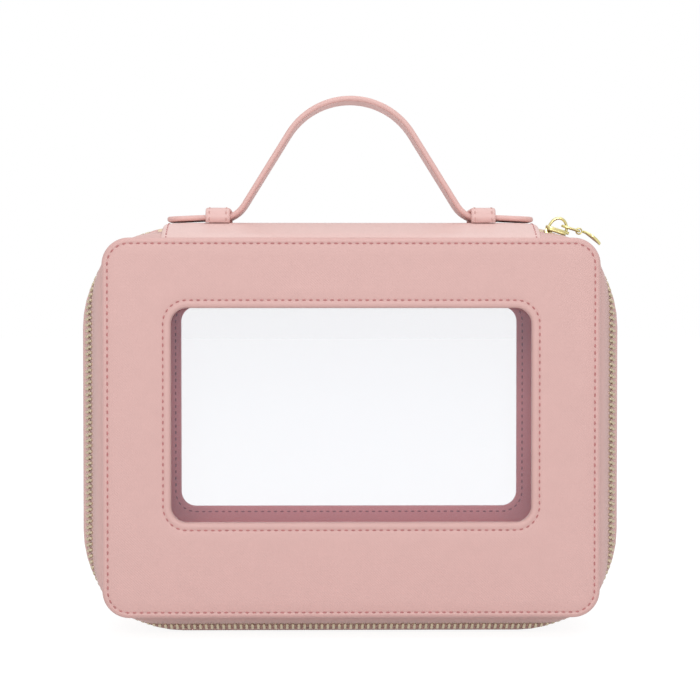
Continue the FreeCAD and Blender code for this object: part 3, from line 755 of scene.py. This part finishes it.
def tube(name, line, wide, high, material, closed=False, sides=12):
    """A rounded bar along a line of points in one plane, wide across y and high in the line's own plane."""
    rings = []
    count = len(line)
    for k, point in enumerate(line):
        after = line[(k + 1) % count] if closed else line[min(k + 1, count - 1)]
        before = line[k - 1] if closed else line[max(k - 1, 0)]
        forward = (Vector(after) - Vector(before)).normalized()
        flat = abs(forward.y) < 1e-6 and any(abs(p[2] - line[0][2]) > 1e-6 for p in line)
        side = Vector((0, 1, 0)) if flat else Vector((0, 0, 1)).cross(forward)
        up = forward.cross(side)
        rings.append([
            tuple(Vector(point) + side * math.cos(a) * wide / 2 + up * math.sin(a) * high / 2)
            for a in (2 * math.pi * n / sides for n in range(sides))
        ])
    points, faces = loop_faces(rings, closed=closed)
    if not closed:
        faces.append(tuple(range(sides)))
        faces.append(tuple(len(points) - sides + n for n in reversed(range(sides))))
    return new_piece(name, points, faces, material)


def oval(width, height, middle, count=40, power=2.6):
    """A rounded outline about (middle, 0)."""
    spots = []
    for k in range(count):
        a = 2 * math.pi * k / count
        c, s = math.cos(a), math.sin(a)
        spots.append((
            middle + width / 2 * math.copysign(abs(c) ** (2 / power), c),
            height / 2 * math.copysign(abs(s) ** (2 / power), s),
        ))
    return spots


def as_metal(piece, solid, body):
    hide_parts(solid)
    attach(piece, body)


def slider_body(turn, link):
    """Two plates with turned-down sides, a post and a round bridge for the pull."""
    origin = link - turn @ Vector((1.6, 0, 4.0))
    shoulders = [(x, y * (1.0 - 0.028 * (x + 5.5))) for x, y in oval(11.0, 7.2, 0.0, power=3.4)]
    pieces = [
        plate("slider_top", shoulders, 0.9, 2.3, 0.45, GOLD),
        plate("slider_base", shoulders, -4.3, -3.2, 0.35, GOLD),
        plate("slider_post", oval(3.4, 0.6, -3.6), -3.3, 1.1, 0.1, GOLD),
    ]
    reach, rise, root = 4.0, 5.3, 1.6
    arch = [(reach * math.cos(a), 0.0, root + rise * math.sin(a)) for a in steps(math.pi, 0.0, 24)]
    pieces.append(tube("slider_bridge", arch, 1.9, 1.3, GOLD))
    for way in (-1, 1):
        side = [(x, way * 3.15, 0.75) for x in steps(-4.2, 4.0, 6)]
        pieces.append(tube("slider_side", side, 0.7, 1.3, GOLD))
    whole = set_at(join(pieces), origin, turn)
    whole.name = "zip_slider"
    as_metal(whole, "slider_body", "slider")


def pull_ring(turn, link):
    """An oval ring of wire that hangs in the bridge."""
    length, width, wire = 7.8, 3.8, 1.2
    line = [(x, y, 0.0) for x, y in oval(length, width, length / 2, power=2.8)]
    ring = set_at(tube("pull_ring", line, wire, wire, GOLD, closed=True), link, turn)
    as_metal(ring, "pull_link", "link")


def pull_tab(turn, tab):
    """A bent leaf with an eye round the ring's far end."""
    droop = Matrix.Rotation(math.radians(14), 3, "Y")
    points = 44
    leaf = []
    for k in range(points):
        a = 2 * math.pi * k / points
        reach = 6.4 - 4.9 * math.cos(a)
        wide = 2.8 * math.sin(a) * (0.45 + 0.55 * min(1.0, max(0.0, (reach - 1.5) / 4.5)))
        leaf.append((reach, wide))
    blade = plate("tab_blade", leaf, -0.65, 0.65, 0.35, GOLD)
    for vertex in blade.data.vertices:
        vertex.co.z += 0.0012 - 30.0 * (vertex.co.x - 0.005) ** 2
    radius, sides = 1.3, 24
    turns = [2 * math.pi * k / sides for k in range(sides)]
    eye = [(radius * math.cos(a), 0.0, radius * math.sin(a)) for a in turns]
    knuckle = tube("tab_eye", eye, 1.9, 0.7, GOLD, closed=True)
    whole = set_at(join([blade, knuckle]), tab, turn @ droop)
    whole.name = "zip_pull_tab"
    as_metal(whole, "pull_tab", "tab")


def slider():
    turn, link, tab = slider_frame()
    slider_body(turn, link)
    pull_ring(turn, link)
    pull_tab(turn, tab)


# Solids that keep their own shape
def dress_solids():
    looks = {
        "front_panel_board": CARD, "rear_panel_board": CARD, "top_board": CARD,
        "front_window": CLEAR, "rear_window": CLEAR, "zip_stops": TEETH,
    }
    for name, material in looks.items():
        solid = frame["nodes"][name]
        for slot in solid.material_slots:
            slot.material = material


# Stage, light and camera
def backdrop():
    floor = bpy.data.meshes.new("floor")
    reach = 6.0
    corners = [(-reach, -reach, 0), (reach, -reach, 0), (reach, reach, 0), (-reach, reach, 0)]
    floor.from_pydata(corners, [], [(0, 1, 2, 3)])
    ground = bpy.data.objects.new("floor", floor)
    bpy.context.scene.collection.objects.link(ground)
    ground.location.z = -0.0003
    material, tree, shader = new_material("floor_white")
    shader.inputs["Base Color"].default_value = (0.82, 0.82, 0.82, 1.0)
    shader.inputs["Roughness"].default_value = 0.9
    glow = node(tree, "ShaderNodeEmission", in_Strength=1.2)
    mix = node(tree, "ShaderNodeMixShader")
    tree.links.new(seen_directly(tree, 0.75), mix.inputs[0])
    tree.links.new(shader.outputs[0], mix.inputs[1])
    tree.links.new(glow.outputs[0], mix.inputs[2])
    tree.links.new(mix.outputs[0], tree.nodes["Material Output"].inputs["Surface"])
    floor.materials.append(material)


def seen_directly(tree, most):
    """A factor for what the camera sees, also in reflections and through clear pieces."""
    path = node(tree, "ShaderNodeLightPath")
    seen = combine(tree, "MAXIMUM", path.outputs["Is Camera Ray"], path.outputs["Is Glossy Ray"])
    seen = combine(tree, "MAXIMUM", seen, path.outputs["Is Transmission Ray"])
    scaled = node(tree, "ShaderNodeMath", operation="MULTIPLY")
    tree.links.new(seen, scaled.inputs[0])
    scaled.inputs[1].default_value = most
    return scaled.outputs[0]


def surroundings():
    world = bpy.data.worlds.new("studio")
    world.use_nodes = True
    tree = world.node_tree
    sky = tree.nodes["Background"]
    sky.inputs["Color"].default_value = (1, 1, 1, 1)
    sky.inputs["Strength"].default_value = 0.52
    white = node(tree, "ShaderNodeBackground", in_Strength=1.0)
    white.inputs["Color"].default_value = (1, 1, 1, 1)
    mix = node(tree, "ShaderNodeMixShader")
    tree.links.new(seen_directly(tree, 1.0), mix.inputs[0])
    tree.links.new(sky.outputs[0], mix.inputs[1])
    tree.links.new(white.outputs[0], mix.inputs[2])
    tree.links.new(mix.outputs[0], tree.nodes["World Output"].inputs["Surface"])
    bpy.context.scene.world = world


def lamp(name, place, target, size, watts):
    light = bpy.data.lights.new(name, "AREA")
    light.shape = "SQUARE"
    light.size = size
    light.energy = watts
    made = bpy.data.objects.new(name, light)
    made.location = place
    made.rotation_euler = (Vector(target) - Vector(place)).to_track_quat("-Z", "Y").to_euler()
    bpy.context.scene.collection.objects.link(made)


def camera():
    view = bpy.data.cameras.new("camera")
    view.lens = 115.9
    view.sensor_width = 36.0
    made = bpy.data.objects.new("camera", view)
    made.location = (-0.01464, -1.03107, 0.15467)
    pitch, yaw = -0.02719, 0.01411
    made.rotation_euler = (math.pi / 2 + pitch, 0.0, -yaw)
    bpy.context.scene.collection.objects.link(made)
    bpy.context.scene.camera = made


camera()
surroundings()
backdrop()
middle = (0, 0, 0.1)
lamp("front_light", (-0.1, -2.1, 0.9), middle, 0.9, 17.5)
lamp("top_light", (0.1, -0.1, 1.7), middle, 1.6, 9.0)
for side, facing, body in (("front", -1, "lid"), ("rear", 1, "case")):
    panel(side, facing, body)
    panel_lining(side, facing, body)
soft_sides()
zip_teeth()
top_panel()
handle()
slider()
dress_solids()

bpy.context.scene.view_settings.view_transform = "Standard"
bpy.context.view_layer.update()
